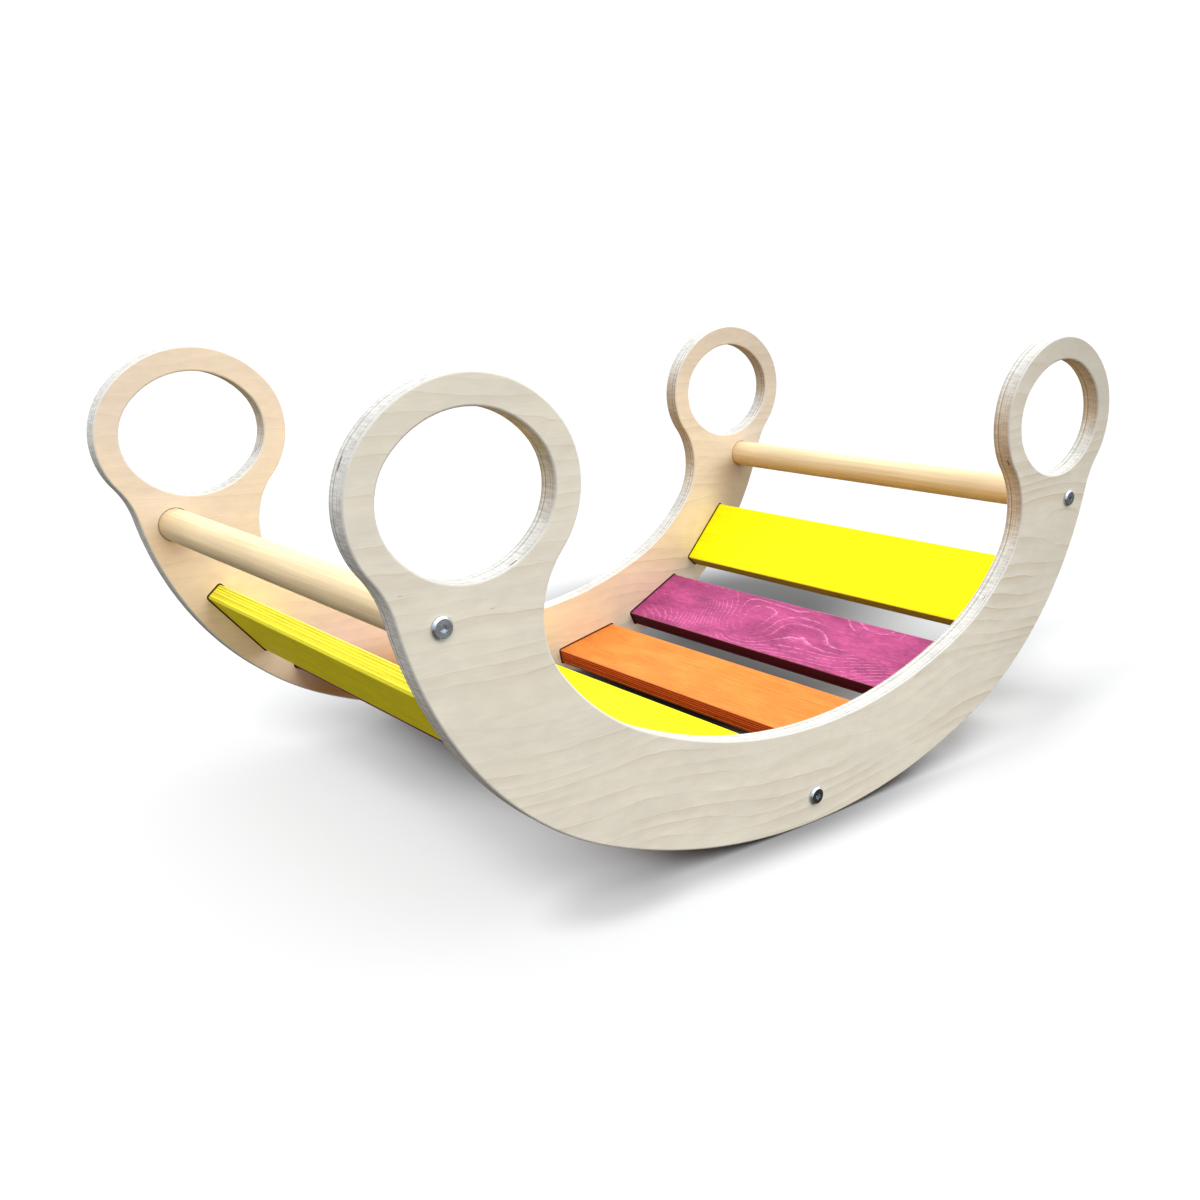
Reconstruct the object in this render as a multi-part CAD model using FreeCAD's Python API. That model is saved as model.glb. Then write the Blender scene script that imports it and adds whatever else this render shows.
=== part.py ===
import FreeCAD
import Part
import math
import os

# Balance rocker for small children. Two plywood sides, each with an oval hand ring
# at both ends, rock on their curved lower edges. Slats housed in the sides make the
# seat and the climbing arch, and two round rails join the sides just below the rings.
# Millimetres. X runs along the rocker, Y across it and Z up. The origin lies on the
# floor, under the middle of the rocker.

Vector = FreeCAD.Vector

# Side panels
panel_thickness = 18.0
inside_width = 458.0
panel_edge_round = 2.0

# Hand rings, one at each end of a panel: a four-arc oval with an even rim
ring_spacing = 714.0
ring_height = 338.0
ring_hole_height = 116.5
ring_hole_extra_length = 24.0
ring_end_offset = 22.0
ring_rim = 23.3

# Runner, the outer outline that rolls on the floor. Its radius is a share of the ring
# spacing, so a longer rocker has a flatter runner. The cover is how far the centre of
# a ring lies inside the arc of the runner's side.
runner_flatness = 0.835
runner_side_radius = 315.0
runner_ring_cover = 70.0
neck_radius = 79.0

# Seat, the inner outline. Its radius is a share of the ring spacing too. The gap is
# how far the centre of a ring lies outside the arc of the seat's side.
middle_depth = 93.0
seat_flatness = 0.689
seat_side_radius = 212.0
seat_ring_gap = 30.0
throat_radius = 72.0

# Slats and rails stand evenly on one line of two arcs. It starts at this height above the
# runner, its radius is a share of the ring spacing, and it ends at the axis of a rail.
slat_line_inset = 26.0
slat_line_flatness = 0.774
slat_line_side_radius = 314.0
slat_names = [
    "left_end_slat",
    "left_middle_slat",
    "left_inner_slat",
    "centre_slat",
    "right_inner_slat",
    "right_middle_slat",
    "right_end_slat",
]
slat_width = 86.0
slat_thickness = 18.0
slat_edge_round = 2.2

# Rails, below the ring holes by this much wood and beyond the rings' centres
rail_diameter = 32.0
rail_below_ring = 10.8
rail_beyond_ring = 26.0
rail_end_chamfer = 1.0

# Housings in the inner faces of the panels: pockets for the slats and sockets for the
# rails. The corners of a pocket follow the slat's rounded edges.
housing_depth = 8.0
pocket_clearance = 1.4
socket_clearance = 0.6

# Bolts through the panels into the rails and the centre slat
bolt_diameter = 6.0
bolt_length = 30.0
bolt_head_diameter = 17.0
bolt_head_height = 3.0
bolt_head_chamfer = 1.6
bolt_tip_chamfer = 0.8
bolt_hole_clearance = 0.4
bolt_tip_room = 3.0
hex_key_width = 5.0
hex_key_depth = 2.2

# Threaded inserts in the ends of the rails and of the centre slat
insert_diameter = 10.0
insert_length = 18.0
insert_ridges = 6
insert_ridge_height = 0.8
insert_clearance = 0.1
thread_clearance = 0.1

# Sizes that follow from these
inner_face = inside_width / 2
outer_face = inner_face + panel_thickness
housing_floor = inner_face + housing_depth
ring_centre = Vector(ring_spacing / 2, 0, ring_height)
runner_radius = ring_spacing * runner_flatness
seat_radius = ring_spacing * seat_flatness
ring_hole_half_height = ring_hole_height / 2
ring_hole_half_length = ring_hole_half_height + ring_hole_extra_length / 2
ring_flattening = ring_end_offset - ring_hole_extra_length / 2
ring_flat_offset = (ring_end_offset**2 - ring_flattening**2) / (2 * ring_flattening)
bolt_reach = bolt_length - (outer_face - housing_floor)


def lower_meeting(first, first_radius, second, second_radius):
    """The lower of the two points where two circles meet."""
    along = second - first
    distance = along.Length
    reach = (first_radius**2 - second_radius**2 + distance**2) / (2 * distance)
    rise = math.sqrt(first_radius**2 - reach**2)
    along.normalize()
    across = Vector(along.z, 0, -along.x)
    middle = first + along * reach
    return min(middle + across * rise, middle - across * rise, key=lambda point: point.z)


def touch(centre, radius, other_centre):
    """The point where an arc touches the arc about another centre."""
    return centre + (other_centre - centre).normalize() * radius


def mirrored(point):
    """The same point at the other end of the rocker."""
    return Vector(-point.x, point.y, point.z)


def arc(start, centre, end):
    """An arc of less than half a turn about a centre."""
    radius = (start - centre).Length
    middle = centre + (start - centre + end - centre).normalize() * radius
    return Part.Arc(start, middle, end).toShape()


# The runner's two arcs
runner_centre = Vector(0, 0, runner_radius)
runner_side_centre = lower_meeting(
    runner_centre,
    runner_radius - runner_side_radius,
    ring_centre,
    runner_side_radius - runner_ring_cover,
)

# The two arcs of the slats' line, and the even pitch of the slats between the rails
rail_axis = ring_centre + Vector(
    rail_beyond_ring, 0, -(ring_hole_half_height + rail_below_ring + rail_diameter / 2)
)
line_radius = ring_spacing * slat_line_flatness
line_centre = Vector(0, 0, slat_line_inset + line_radius)
line_side_centre = lower_meeting(
    line_centre, line_radius - slat_line_side_radius, rail_axis, slat_line_side_radius
)
line_turn = math.atan2(line_side_centre.x, line_centre.z - line_side_centre.z)
rail_turn = math.atan2(rail_axis.x - line_side_centre.x, line_side_centre.z - rail_axis.z)
rail_distance = line_radius * line_turn + slat_line_side_radius * (rail_turn - line_turn)
slat_pitch = 2 * rail_distance / (len(slat_names) + 1)


def place_on_line(distance):
    """Point and slope, as an angle, at a distance along the line from its middle."""
    travel = abs(distance)
    main_length = line_radius * line_turn
    if travel <= main_length:
        centre, radius = line_centre, line_radius
        angle = travel / line_radius
    else:
        centre, radius = line_side_centre, slat_line_side_radius
        angle = line_turn + (travel - main_length) / slat_line_side_radius
    point = centre + Vector(math.sin(angle), 0, -math.cos(angle)) * radius
    if distance < 0:
        return mirrored(point), -angle
    return point, angle


def half_outline():
    """Arcs of the right half of a panel, from the runner round the ring to the seat."""
    end_radius = ring_hole_half_length + ring_rim - ring_end_offset
    top_radius = ring_hole_half_height + ring_rim + ring_flat_offset
    outer_end = ring_centre + Vector(ring_end_offset, 0, 0)
    inner_end = ring_centre - Vector(ring_end_offset, 0, 0)
    top_centre = ring_centre - Vector(0, 0, ring_flat_offset)

    neck_centre = lower_meeting(
        outer_end, end_radius + neck_radius, runner_side_centre, runner_side_radius + neck_radius
    )
    seat_centre = Vector(0, 0, middle_depth + seat_radius)
    seat_side_centre = lower_meeting(
        seat_centre, seat_radius - seat_side_radius, ring_centre, seat_side_radius + seat_ring_gap
    )
    throat_centre = lower_meeting(
        inner_end, end_radius + throat_radius, seat_side_centre, seat_side_radius - throat_radius
    )

    centres = [
        runner_side_centre,
        neck_centre,
        outer_end,
        top_centre,
        inner_end,
        throat_centre,
        seat_side_centre,
    ]
    points = [
        touch(runner_centre, runner_radius, runner_side_centre),
        touch(runner_side_centre, runner_side_radius, neck_centre),
        touch(outer_end, end_radius, neck_centre),
        touch(top_centre, top_radius, outer_end),
        touch(top_centre, top_radius, inner_end),
        touch(inner_end, end_radius, throat_centre),
        touch(seat_side_centre, seat_side_radius, throat_centre),
        touch(seat_centre, seat_radius, seat_side_centre),
    ]
    return centres, points, seat_centre


def panel_wire():
    """Closed outline of a side panel."""
    centres, points, seat_centre = half_outline()
    edges = [
        arc(mirrored(points[0]), runner_centre, points[0]),
        arc(points[-1], seat_centre, mirrored(points[-1])),
    ]
    for start, centre, end in zip(points[:-1], centres, points[1:]):
        edges.append(arc(start, centre, end))
        edges.append(arc(mirrored(end), mirrored(centre), mirrored(start)))
    return Part.Wire(Part.__sortEdges__(edges))


def ring_hole_wire(centre):
    """Oval hole of a hand ring: two end arcs, and two flatter arcs above and below."""
    flat_radius = ring_hole_half_height + ring_flat_offset
    right = centre + Vector(ring_end_offset, 0, 0)
    left = centre - Vector(ring_end_offset, 0, 0)
    above = centre + Vector(0, 0, ring_flat_offset)
    below = centre - Vector(0, 0, ring_flat_offset)
    upper_right = touch(below, flat_radius, right)
    upper_left = touch(below, flat_radius, left)
    lower_right = touch(above, flat_radius, right)
    lower_left = touch(above, flat_radius, left)
    return Part.Wire(
        [
            arc(lower_right, right, upper_right),
            arc(upper_right, below, upper_left),
            arc(upper_left, left, lower_left),
            arc(lower_left, above, lower_right),
        ]
    )


def upright(shape, point, angle):
    """A shape modelled about the Y axis, tilted with the line and moved to a place."""
    shape.rotate(Vector(0, 0, 0), Vector(0, 1, 0), -math.degrees(angle))
    shape.translate(point)
    return shape


def cylinder_y(diameter, start, end):
    """A cylinder about the Y axis."""
    return Part.makeCylinder(diameter / 2, end - start, Vector(0, start, 0), Vector(0, 1, 0))


def rounded_bar(clearance, start, end):
    """A bar along Y with the slats' rounded section, grown by a clearance all round."""
    width = slat_width + 2 * clearance
    height = slat_thickness + 2 * clearance
    bar = Part.makeBox(width, end - start, height, Vector(-width / 2, start, -height / 2))
    long_edges = [edge for edge in bar.Edges if edge.Vertexes[0].Y != edge.Vertexes[1].Y]
    return bar.makeFillet(slat_edge_round + clearance, long_edges)


def slat_pocket(point, angle):
    """Blind pocket for a slat's end."""
    return upright(rounded_bar(pocket_clearance, inner_face, housing_floor), point, angle)


def rear_panel():
    """The panel on the far side, with its housings in the face towards the seat."""
    offset = Vector(0, inner_face, 0)
    depth = Vector(0, panel_thickness, 0)
    panel = Part.Face(panel_wire()).extrude(depth)
    for centre in (ring_centre, mirrored(ring_centre)):
        panel = panel.cut(Part.Face(ring_hole_wire(centre)).extrude(depth))
    rims = [edge for edge in panel.Edges if edge.BoundBox.YLength < panel_thickness / 2]
    panel = panel.makeFillet(panel_edge_round, rims)
    panel.translate(offset)

    for point, angle in slat_places:
        panel = panel.cut(slat_pocket(point, angle))
    for point in rail_places:
        socket = cylinder_y(rail_diameter + 2 * socket_clearance, inner_face, housing_floor)
        socket.translate(point)
        panel = panel.cut(socket)
    for point in bolt_places:
        hole = cylinder_y(bolt_diameter + 2 * bolt_hole_clearance, inner_face, outer_face)
        hole.translate(point)
        panel = panel.cut(hole)
    return panel


def insert_holes():
    """The holes for the inserts and the bolts' tips in both ends of a rail or slat."""
    depth = max(insert_length, bolt_reach + bolt_tip_room)
    diameter = insert_diameter + 2 * insert_clearance
    near = cylinder_y(diameter, -housing_floor, -housing_floor + depth)
    far = cylinder_y(diameter, housing_floor - depth, housing_floor)
    return Part.makeCompound([near, far])


def slat(point, angle, bolted):
    """A plywood slat that fills its two pockets from floor to floor."""
    board = rounded_bar(0, -housing_floor, housing_floor)
    if bolted:
        board = board.cut(insert_holes())
    return upright(board, point, angle)


def rail(point):
    """A round rail that stands in its two sockets."""
    bar = cylinder_y(rail_diameter, -housing_floor, housing_floor)
    ends = [edge for edge in bar.Edges if edge.BoundBox.YLength < housing_floor]
    bar = bar.makeChamfer(rail_end_chamfer, ends)
    bar = bar.cut(insert_holes())
    bar.translate(point)
    return bar


def turned(profile):
    """A solid turned about the Y axis from pairs of radius and Y."""
    corners = [Vector(radius, y, 0) for radius, y in profile]
    outline = Part.makePolygon(corners + corners[:1])
    return Part.Face(outline).revolve(Vector(0, 0, 0), Vector(0, 1, 0), 360)


def bolt(point):
    """Flat-headed connector bolt, its head on the far panel's outer face."""
    head = bolt_head_diameter / 2
    shank = bolt_diameter / 2
    top = outer_face + bolt_head_height
    tip = outer_face - bolt_length
    body = turned(
        [
            (0, tip),
            (shank - bolt_tip_chamfer, tip),
            (shank, tip + bolt_tip_chamfer),
            (shank, outer_face),
            (head, outer_face),
            (head, top - bolt_head_chamfer),
            (head - bolt_head_chamfer, top),
            (0, top),
        ]
    )
    key_radius = hex_key_width / math.sqrt(3)
    corners = [math.radians(60 * turn) for turn in range(7)]
    hexagon = Part.makePolygon(
        [Vector(key_radius * math.cos(a), top, key_radius * math.sin(a)) for a in corners]
    )
    body = body.cut(Part.Face(hexagon).extrude(Vector(0, -hex_key_depth, 0)))
    body.translate(point)
    return body


def insert(point):
    """Ridged threaded insert, flush with the end of its rail or slat."""
    crest = insert_diameter / 2
    root = crest - insert_ridge_height
    bore = bolt_diameter / 2 + thread_clearance
    step = insert_length / insert_ridges
    inner_end = housing_floor - insert_length
    profile = [(bore, housing_floor), (bore, inner_end)]
    for ridge in range(insert_ridges):
        profile.append((root, inner_end + ridge * step))
        profile.append((crest, inner_end + (ridge + 1) * step))
    sleeve = turned(profile)
    sleeve.translate(point)
    return sleeve


def both_sides(solid):
    """A piece on the far side with its mirror image on the near side."""
    return [solid.mirror(Vector(0, 0, 0), Vector(0, 1, 0)), solid]


def save(name, shape):
    shape.exportStep("parts/" + name + ".step")
    print(name, len(shape.Solids), "solid,", round(shape.Volume / 1000, 1), "cm3")


middle_slat = len(slat_names) // 2
slat_places = [
    place_on_line((number - (len(slat_names) - 1) / 2) * slat_pitch)
    for number in range(len(slat_names))
]
rail_places = [mirrored(rail_axis), rail_axis]
bolt_places = [rail_places[0], slat_places[middle_slat][0], rail_places[1]]

os.makedirs("parts", exist_ok=True)
front, rear = both_sides(rear_panel())
save("front_side_panel", front)
save("rear_side_panel", rear)
for number, name in enumerate(slat_names):
    point, angle = slat_places[number]
    save(name, slat(point, angle, number == middle_slat))
for name, point in zip(["left_rail", "right_rail"], rail_places):
    save(name, rail(point))
for name, point in zip(["left_rail", slat_names[middle_slat], "right_rail"], bolt_places):
    save(name + "_bolts", Part.makeCompound(both_sides(bolt(point))))
    save(name + "_inserts", Part.makeCompound(both_sides(insert(point))))
print("slat pitch", round(slat_pitch, 1), "rail at", [round(value, 1) for value in rail_places[1]])
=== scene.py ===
# %% [markdown]
# # A balance rocker in Blender
# The object is a rocker for small children: two sides of birch plywood with hand rings,
# seven stained slats, two round rails and six connector bolts. Its solids come as a fixed
# frame in metres, with the near side at -Y and the floor at Z = 0. We load that frame first
# and keep its box, because nothing that we add may grow out of it.

# %% Load the frame
import math

import bmesh
import bpy
from mathutils import Euler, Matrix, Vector


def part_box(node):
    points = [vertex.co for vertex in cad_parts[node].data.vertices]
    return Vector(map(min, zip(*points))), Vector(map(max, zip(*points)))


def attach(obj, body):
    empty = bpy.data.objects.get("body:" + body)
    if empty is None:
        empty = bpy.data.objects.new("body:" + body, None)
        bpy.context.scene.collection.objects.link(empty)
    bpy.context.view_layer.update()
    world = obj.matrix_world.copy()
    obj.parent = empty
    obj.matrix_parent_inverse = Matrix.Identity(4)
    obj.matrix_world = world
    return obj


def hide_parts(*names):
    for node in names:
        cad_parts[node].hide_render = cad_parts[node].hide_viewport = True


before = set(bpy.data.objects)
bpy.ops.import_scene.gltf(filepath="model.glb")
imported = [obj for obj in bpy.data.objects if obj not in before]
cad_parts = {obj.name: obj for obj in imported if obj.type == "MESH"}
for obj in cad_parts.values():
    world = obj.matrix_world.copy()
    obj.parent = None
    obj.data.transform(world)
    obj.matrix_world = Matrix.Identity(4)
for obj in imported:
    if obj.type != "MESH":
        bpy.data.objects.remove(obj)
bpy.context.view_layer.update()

# %% [markdown]
# ## Camera
# The photograph looks down a little on the near left corner. Its place and angles were found
# by fitting the four hand rings, so the camera is set by those few numbers. A lens without
# shift keeps the other views simple.

# %% Camera
camera_place = Vector((-0.789, -0.913, 0.471))
camera_azimuth = 39.08
camera_elevation = 14.49
camera_roll = -0.42
camera_lens = 36.47
camera_sensor = 36.0

bpy.ops.object.select_all(action="DESELECT")
bpy.ops.object.camera_add(location=camera_place)
camera = bpy.context.object
camera.name = "photo_camera"
camera.rotation_mode = "QUATERNION"
level_view = Euler((math.radians(90 - camera_elevation), 0, -math.radians(camera_azimuth)))
roll = Euler((0, 0, math.radians(camera_roll)))
camera.rotation_quaternion = level_view.to_quaternion() @ roll.to_quaternion()
camera.data.lens = camera_lens
camera.data.sensor_width = camera_sensor
bpy.context.scene.camera = camera
print("camera at", [round(c, 3) for c in camera.location], "lens", camera.data.lens)

# %% [markdown]
# ## Short ways to wire nodes
# All the finishes below are node trees, and so is the light. A small helper class adds a
# node, sets it up and feeds its sockets in one line, so that each finish reads as a recipe.
# Two functions begin a material and end it with its colour, roughness and fine relief.

# %% Node helper
class Graph:
    """A node tree with short ways to add nodes and to feed their sockets."""

    def __init__(self, tree):
        self.tree = tree

    def feed(self, socket, value):
        """Links another node's output to a socket, or sets the socket's own value."""
        if isinstance(value, bpy.types.NodeSocket):
            self.tree.links.new(value, socket)
        elif socket.type == "RGBA":
            socket.default_value = (*value, 1)
        else:
            socket.default_value = value

    def add(self, kind, inputs=None, **settings):
        """Adds a node, sets it up and feeds its inputs."""
        node = self.tree.nodes.new(kind)
        for name, value in settings.items():
            setattr(node, name, value)
        for name, value in (inputs or {}).items():
            self.feed(node.inputs[name], value)
        return node

    def place(self):
        """The place on the piece in metres."""
        return self.add("ShaderNodeTexCoord").outputs["Object"]

    def facing(self):
        """The three parts of the surface's own direction."""
        return self.apart(self.add("ShaderNodeNewGeometry").outputs["Normal"])

    def maths(self, operation, *values):
        """One step of arithmetic on numbers or outputs."""
        return self.add("ShaderNodeMath", dict(enumerate(values)), operation=operation).outputs[0]

    def times(self, first, second):
        """One number or output times another."""
        return self.maths("MULTIPLY", first, second)

    def vectors(self, operation, *values):
        """One step of arithmetic on vectors."""
        return self.add("ShaderNodeVectorMath", dict(enumerate(values)), operation=operation).outputs[0]

    def length(self, vector):
        """The length of a vector."""
        return self.add("ShaderNodeVectorMath", {0: vector}, operation="LENGTH").outputs["Value"]

    def ease(self, value, low, high, start=0.0, end=1.0):
        """Runs smoothly from start to end while the value goes from low to high."""
        limits = {"From Min": low, "From Max": high, "To Min": start, "To Max": end}
        node = self.add("ShaderNodeMapRange", limits, interpolation_type="SMOOTHSTEP")
        self.feed(node.inputs["Value"], value)
        return node.outputs["Result"]

    def apart(self, vector):
        """The three parts of a vector."""
        return self.add("ShaderNodeSeparateXYZ", {0: vector}).outputs

    def together(self, x, y, z):
        """A vector from three numbers or outputs."""
        return self.add("ShaderNodeCombineXYZ", {0: x, 1: y, 2: z}).outputs[0]

    def noise(self, place, size, detail=2.0):
        """Soft noise with spots of the given size in metres along each axis."""
        scaled = self.vectors("MULTIPLY", place, tuple(1 / part for part in size))
        inputs = {"Vector": scaled, "Detail": detail, "Scale": 1.0}
        return self.add("ShaderNodeTexNoise", inputs).outputs[0]

    def blend(self, share, first, second, how="MIX"):
        """Goes from the first colour to the second with the share."""
        node = self.add("ShaderNodeMix", data_type="RGBA", blend_type=how)
        for number, value in zip((0, 6, 7), (share, first, second)):
            self.feed(node.inputs[number], value)
        return node.outputs[2]

    def tint(self, colour, other):
        """Multiplies two colours."""
        return self.blend(1.0, colour, other, "MULTIPLY")

    def shade(self, colour, amount):
        """Multiplies a colour by a number."""
        return self.tint(colour, self.together(amount, amount, amount))


# %% Begin and end of a material
def start_material(name):
    """A new material, its graph and its shader."""
    material = bpy.data.materials.new(name)
    material.use_nodes = True
    return material, Graph(material.node_tree), material.node_tree.nodes["Principled BSDF"]


def dress(graph, shader, colour, roughness, relief, strength, depth):
    """Feeds a finish to its shader: colour, roughness and a relief of the given depth."""
    graph.feed(shader.inputs["Base Color"], colour)
    graph.feed(shader.inputs["Roughness"], roughness)
    bump = graph.add("ShaderNodeBump", {"Height": relief, "Strength": strength, "Distance": depth})
    graph.feed(shader.inputs["Normal"], bump.outputs[0])


# %% [markdown]
# ## Floor
# A toy like this is shown on a seamless white sheet, and a big plane is enough for that. It
# takes the shadow, but it throws no light back: in the photograph the undersides are brown,
# as above a darker studio floor. On the sheet lie soft oval patches of painted shadow and
# painted light that fade from core to reach: painted shadow behind, under and before the seat
# and at its left, and mostly painted light at its right.

# %% Floor
floor_size = 120.0
paper_roughness = 0.9
paper_white = (0.209, 0.2105, 0.2125)
# Painted shadow where a tone is below 1 and painted light where it is above 1.
painted_floor_shading = {
    "behind": {"middle": (0.48, 0.355, 0.0), "reach": (0.48, 0.33, 1.0), "core": 0.3, "tone": 0.25},
    "under": {"middle": (0.06, 0.08, 0.0), "reach": (0.34, 0.24, 1.0), "core": 0.3, "tone": 0.12},
    "contact": {"middle": (-0.02, -0.246, 0.0), "reach": (0.30, 0.050, 1.0), "core": 0.0, "tone": 0.35},
    "left": {"middle": (-0.225, -0.24, 0.0), "reach": (0.09, 0.05, 1.0), "core": 0.3, "tone": 0.78},
    "right": {"middle": (0.24, -0.19, 0.0), "reach": (0.26, 0.07, 1.0), "core": 0.0, "tone": 1.9},
    "right front": {"middle": (0.34, -0.227, 0.0), "reach": (0.31, 0.076, 1.0), "core": 0.0, "tone": 0.86},
    "right back": {"middle": (0.31, -0.105, 0.0), "reach": (0.60, 0.12, 1.0), "core": 0.0, "tone": 1.5},
}

bpy.ops.object.select_all(action="DESELECT")
bpy.ops.mesh.primitive_plane_add(size=floor_size)
floor = bpy.context.object
floor.name = "studio_floor"
floor.visible_diffuse = False
floor.visible_glossy = False
floor.visible_shadow = False

paper, graph, shader = start_material("white_paper")
place = graph.place()
colour = paper_white
# Each patch multiplies the paper's colour: a painted shadow darkens it, a painted light brightens it.
for patch in painted_floor_shading.values():
    offset = graph.vectors("SUBTRACT", place, patch["middle"])
    away = graph.length(graph.vectors("DIVIDE", offset, patch["reach"]))
    colour = graph.shade(colour, graph.ease(away, patch["core"], 1.0, patch["tone"], 1.0))
graph.feed(shader.inputs["Base Color"], colour)
shader.inputs["Roughness"].default_value = paper_roughness
shader.inputs["Specular IOR Level"].default_value = 0.0
floor.data.materials.append(paper)
print("floor", floor.dimensions[:], "with", len(painted_floor_shading), "patches")

# %% [markdown]
# ## Light on the floor
# The shadow beside the rocker is very soft and falls to the right. A wide sun from the left
# makes it. It is linked to the floor alone, so the wood keeps the even light of the dome.

# %% Light on the floor
floor_light_azimuth = 65.0
floor_light_elevation = 40.0
floor_light_power = 15.0
floor_light_width = 40.0

bpy.ops.object.select_all(action="DESELECT")
bpy.ops.object.light_add(type="SUN")
floor_light = bpy.context.object
floor_light.name = "floor_light"
floor_light.rotation_euler = (
    math.radians(90 - floor_light_elevation), 0, -math.radians(floor_light_azimuth)
)
floor_light.data.energy = floor_light_power
floor_light.data.angle = math.radians(floor_light_width)
floor_only = bpy.data.collections.new("floor_only")
floor_only.objects.link(floor)
floor_light.light_linking.receiver_collection = floor_only

# %% [markdown]
# ## Light dome
# The rest of the light comes from all round, as in a light tent. Several lamps could make it
# too, but their edges would show in the bolts, so the world is a dome that gets brighter
# towards the top and dimmer towards the left. Its lower half is weak and warm, in place of
# the light that a studio floor would throw back.

# %% Light dome
dome_below = 0.155
dome_left = 0.6
dome_horizon = 1.2
dome_top = 2.8
dome_warmth = (1.0, 0.86, 0.68)
dome_rim = (-0.25, -0.03)
dome_left_fade = (-1.0, 0.1)
dome_top_fade = (0.1, 1.0)

world = bpy.data.worlds.new("studio_dome")
bpy.context.scene.world = world
world.use_nodes = True
dome = Graph(world.node_tree)
direction = dome.apart(dome.add("ShaderNodeTexCoord").outputs["Generated"])
upper = dome.ease(direction["Z"], *dome_rim)
horizon = dome.ease(direction["X"], *dome_left_fade, dome_left, dome_horizon)
overhead = dome.ease(direction["Z"], *dome_top_fade, 0.0, dome_top - dome_horizon)
sky = dome.shade((1, 1, 1), dome.maths("ADD", horizon, overhead))
ground = dome.shade(dome_warmth, dome_below)
background = world.node_tree.nodes["Background"]
dome.feed(background.inputs["Color"], dome.blend(upper, ground, sky))
bpy.context.scene.view_settings.view_transform = "Standard"
print("dome from", dome_below, "below to", dome_top, "overhead")

# %% [markdown]
# ## The figure of wood
# Most of the wood is birch, rotary cut for the plywood. Its face shows thin growth lines that
# wander and close to loops, fine fibres along the grain, and soft clouds. A picture of wood
# would repeat, and it needs a map on every piece. So we build the figure from noise, once,
# as a node group. Its place goes along the grain in X, across it in Y and through the
# layers in Z, so every finish can turn the figure the way its board is cut.

# %% Wood figure group
drift_size = (0.28, 0.075, 0.02)
wiggle_size = (0.020, 0.007, 0.02)
fading_size = (0.16, 0.025, 0.02)
fibre_size = (0.014, 0.0011, 0.0011)
cloud_size = (0.10, 0.025, 0.05)
wiggle_share = 0.25
late_wood_rise = (0.88, 0.96)
summer_rise = (0.1, 0.95)
year_end = (1.0, 0.965)
fading_rise = (0.36, 0.62)
faintest_line = 0.2


def start_group(name, inputs, outputs):
    """An empty node group with its sockets; gives the group, its graph and its two ends."""
    group = bpy.data.node_groups.new(name, "ShaderNodeTree")
    for socket, kind in inputs.items():
        group.interface.new_socket(socket, in_out="INPUT", socket_type="NodeSocket" + kind)
    for socket in outputs:
        group.interface.new_socket(socket, in_out="OUTPUT", socket_type="NodeSocketFloat")
    graph = Graph(group)
    return group, graph, graph.add("NodeGroupInput").outputs, graph.add("NodeGroupOutput").inputs


figure_inputs = {"Place": "Vector", "Spacing": "Float", "Wander": "Float"}
wood_figure, graph, given, found = start_group(
    "wood_figure", figure_inputs, ["Line", "Fibre", "Cloud"]
)
place = given["Place"]
drift = graph.maths("SUBTRACT", graph.noise(place, drift_size, 1.0), 0.5)
wiggle = graph.maths("SUBTRACT", graph.noise(place, wiggle_size), 0.5)
years = graph.maths("DIVIDE", graph.apart(place)["Y"], given["Spacing"])
years = graph.maths("MULTIPLY_ADD", drift, given["Wander"], years)
years = graph.maths("MULTIPLY_ADD", wiggle, wiggle_share, years)
season = graph.maths("FRACT", years)
late_wood = graph.ease(season, *late_wood_rise, 0.0, 0.5)
summer = graph.ease(season, *summer_rise, 0.0, 0.5)
dark = graph.times(graph.maths("ADD", late_wood, summer), graph.ease(season, *year_end))
fading = graph.ease(graph.noise(place, fading_size), *fading_rise, faintest_line, 1.0)
graph.feed(found["Line"], graph.times(dark, fading))
graph.feed(found["Fibre"], graph.noise(place, fibre_size, 3.0))
graph.feed(found["Cloud"], graph.noise(place, cloud_size, 3.0))
print("wood figure:", len(wood_figure.nodes), "nodes")


def figure_on(graph, place, spacing, wander):
    """Adds the figure to a finish; gives its lines, fibres and clouds."""
    inputs = {"Place": place, "Spacing": spacing, "Wander": wander}
    return graph.add("ShaderNodeGroup", inputs, node_tree=wood_figure).outputs


# %% [markdown]
# ## The edge of plywood
# A sawn edge shows all the plies. Every other ply lies across, so one shows the sides of its
# fibres, which are pale, while the next shows their ends, which are dark and speckled. Where
# the edge turns round a curve the two kinds change places. No two plies have the same tone.
# Each ply could be a board of its own, but a count of the depth draws them with no more
# faces. This second group gives the share of end grain, the thin glue lines, the small gaps
# that inner plies have, and a tone for each ply.

# %% Ply edge group
ply_count = 13
speckle_size = (0.0011, 0.0011, 0.0011)
gap_size = (0.02, 0.02, 0.02)
gap_stagger = 0.37
noise_range = (0.3, 0.7)
speckle_contrast = (0.35, 1.3)
glue_rise = (0.36, 0.5)
gap_rise = (0.75, 0.77)
inner_part = (0.44, 0.36)
ply_tones = (0.72, 1.2)

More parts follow.
